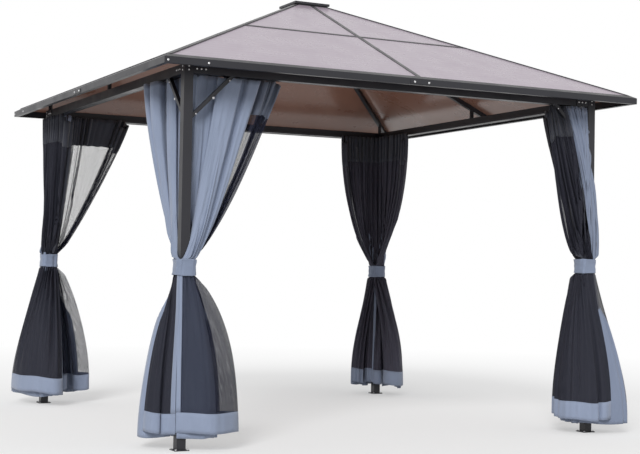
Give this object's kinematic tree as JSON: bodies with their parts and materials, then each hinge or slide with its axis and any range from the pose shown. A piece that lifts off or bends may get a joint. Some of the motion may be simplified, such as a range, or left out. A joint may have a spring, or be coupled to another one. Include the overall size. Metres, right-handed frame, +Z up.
{
  "type": "metal gazebo",
  "caption": "Square hardtop gazebo with slim metal posts, a hipped roof of smoky panels and gathered curtains tied back at each post.",
  "frame": {"origin": "on the floor at the middle of the square plan", "axes": "+Z up, -Y is the front, +X is the right, both along the sides of the roof"},
  "size_m": [3, 3, 2.673],
  "materials": {
    "frame_metal": "satin powder coat, near black",
    "roof_sheet": "smoky bronze twin-wall polycarbonate",
    "curtain_fabric": "blue-grey woven polyester",
    "net": "fine black mosquito netting",
    "fastener": "zinc-plated screw heads"
  },
  "bodies": {
    "root": {"foot_plate_front_left": "frame_metal", "post_front_left": "frame_metal", "knee_braces_front_left": "frame_metal", "hip_rafter_front_left": "frame_metal", "tieback_front_left": "curtain_fabric", "foot_plate_front_right": "frame_metal", "post_front_right": "frame_metal", "knee_braces_front_right": "frame_metal", "hip_rafter_front_right": "frame_metal", "tieback_front_right": "curtain_fabric", "foot_plate_back_right": "frame_metal", "post_back_right": "frame_metal", "knee_braces_back_right": "frame_metal", "hip_rafter_back_right": "frame_metal", "tieback_back_right": "curtain_fabric", "foot_plate_back_left": "frame_metal", "post_back_left": "frame_metal", "knee_braces_back_left": "frame_metal", "hip_rafter_back_left": "frame_metal", "tieback_back_left": "curtain_fabric", "header_front": "frame_metal", "centre_rafter_front": "frame_metal", "eave_rail_front": "frame_metal", "roof_panels_front": "roof_sheet", "header_right": "frame_metal", "centre_rafter_right": "frame_metal", "eave_rail_right": "frame_metal", "roof_panels_right": "roof_sheet", "header_back": "frame_metal", "centre_rafter_back": "frame_metal", "eave_rail_back": "frame_metal", "roof_panels_back": "roof_sheet", "header_left": "frame_metal", "centre_rafter_left": "frame_metal", "eave_rail_left": "frame_metal", "roof_panels_left": "roof_sheet", "front_curtain_left": "curtain_fabric", "right_curtain_front": "curtain_fabric", "back_curtain_right": "curtain_fabric", "left_curtain_back": "curtain_fabric", "left_curtain_front": "curtain_fabric", "front_curtain_right": "curtain_fabric", "right_curtain_back": "curtain_fabric", "back_curtain_left": "curtain_fabric", "rafter_stubs": "frame_metal", "seam_strips": "frame_metal", "roof_hub": "frame_metal", "roof_cap": "frame_metal"}
  },
  "joints": []
}
